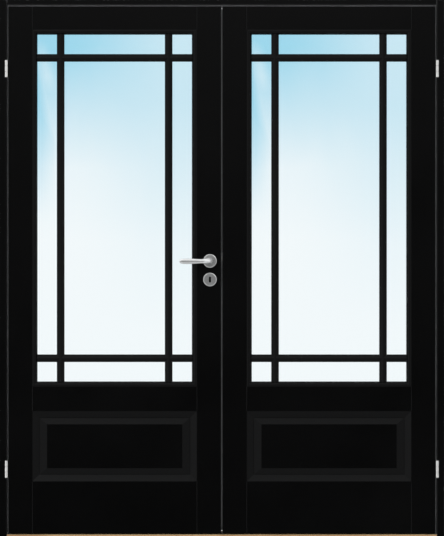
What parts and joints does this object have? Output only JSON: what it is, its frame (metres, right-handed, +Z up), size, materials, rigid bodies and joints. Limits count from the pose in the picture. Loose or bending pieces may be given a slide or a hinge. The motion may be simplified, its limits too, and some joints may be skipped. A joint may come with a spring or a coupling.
{
  "type": "french doors",
  "caption": "Pair of glazed panel doors in a wooden frame with an oak threshold, a lever handle, butt hinges, a mortise lock and flush bolts.",
  "frame": {"origin": "on the floor, in the middle of the frame's width and depth", "axes": "+X to the right seen from the front, +Y to the back, +Z up"},
  "size_m": [1.722, 0.1387, 2.09],
  "materials": {
    "black_paint": "black satin paint on wood",
    "oak": "oiled oak",
    "seal_rubber": "matt grey",
    "clear_glass": "clear",
    "hinge_nickel": "bright nickel plated",
    "satin_steel": "brushed",
    "zinc_steel": "zinc plated"
  },
  "bodies": {
    "frame": {"frame_jamb_left": "black_paint", "frame_jamb_right": "black_paint", "frame_head": "black_paint", "threshold": "oak", "left_stop": "black_paint", "right_stop": "black_paint", "head_stop": "black_paint", "threshold_stop": "oak", "frame_seals": "seal_rubber", "head_keep": "satin_steel", "threshold_keep": "satin_steel", "hinge_frame_plates": "hinge_nickel", "hinge_pins": "hinge_nickel", "frame_screws": "zinc_steel"},
    "left_leaf": {"left_hinge_stile": "black_paint", "left_meeting_stile": "black_paint", "left_bottom_rail": "black_paint", "left_lock_rail": "black_paint", "left_top_rail": "black_paint", "left_raised_panel": "black_paint", "left_glass": "clear_glass", "left_panel_mouldings": "black_paint", "left_glazing_beads_front": "black_paint", "left_glazing_beads_back": "black_paint", "left_glazing_bars_front": "black_paint", "left_glazing_bars_back": "black_paint", "left_hinge_leaf_plates": "hinge_nickel", "left_leaf_screws": "zinc_steel", "handle_rose_front": "satin_steel", "handle_rose_back": "satin_steel", "key_rose_front": "satin_steel", "key_rose_back": "satin_steel", "lock_case": "zinc_steel", "lock_face_plate": "satin_steel"},
    "right_leaf": {"right_hinge_stile": "black_paint", "right_meeting_stile": "black_paint", "right_bottom_rail": "black_paint", "right_lock_rail": "black_paint", "right_top_rail": "black_paint", "right_raised_panel": "black_paint", "right_glass": "clear_glass", "right_panel_mouldings": "black_paint", "right_glazing_beads_front": "black_paint", "right_glazing_beads_back": "black_paint", "right_glazing_bars_front": "black_paint", "right_glazing_bars_back": "black_paint", "right_hinge_leaf_plates": "hinge_nickel", "right_leaf_screws": "zinc_steel", "strike_plate": "satin_steel", "cover_strip": "black_paint", "cover_seal": "seal_rubber", "flush_bolt_housings": "satin_steel"},
    "handle": {"lever_front": "satin_steel", "lever_back": "satin_steel", "spindle": "zinc_steel", "lock_follower": "zinc_steel"},
    "latch": {"latch_bolt": "zinc_steel"},
    "dead_bolt": {"dead_bolt": "zinc_steel"},
    "flush_bolt_top": {"flush_bolt_top": "zinc_steel"},
    "flush_bolt_bottom": {"flush_bolt_bottom": "zinc_steel"}
  },
  "joints": [
    {"name": "left_leaf_swing", "type": "hinge", "parent": "frame", "child": "left_leaf", "pos_m": [-0.8328, -0.0525, 1.05], "axis": [0, 0, -1], "range_deg": [0, 170]},
    {"name": "right_leaf_swing", "type": "hinge", "parent": "frame", "child": "right_leaf", "pos_m": [0.8328, -0.0525, 1.05], "axis": [0, 0, 1], "range_deg": [0, 170]},
    {"name": "handle_turn", "type": "hinge", "parent": "left_leaf", "child": "handle", "pos_m": [-0.046, -0.026, 1.079], "axis": [0, -1, 0], "range_deg": [0, 40], "stiffness_Nm_per_rad": 0.8, "springref_deg": -45.84},
    {"name": "latch_slide", "type": "slide", "parent": "left_leaf", "child": "latch", "axis": [-1, 0, 0], "range_m": [0, 0.0106]},
    {"name": "dead_bolt_throw", "type": "slide", "parent": "left_leaf", "child": "dead_bolt", "axis": [1, 0, 0], "range_m": [0, 0.014]},
    {"name": "top_flush_bolt_throw", "type": "slide", "parent": "right_leaf", "child": "flush_bolt_top", "axis": [0, 0, 1], "range_m": [0, 0.018]},
    {"name": "bottom_flush_bolt_throw", "type": "slide", "parent": "right_leaf", "child": "flush_bolt_bottom", "axis": [0, 0, -1], "range_m": [0, 0.018]}
  ],
  "couplings": [
    {"joint": "latch_slide", "follows": "handle_turn", "m_per_rad": 0.0151}
  ]
}
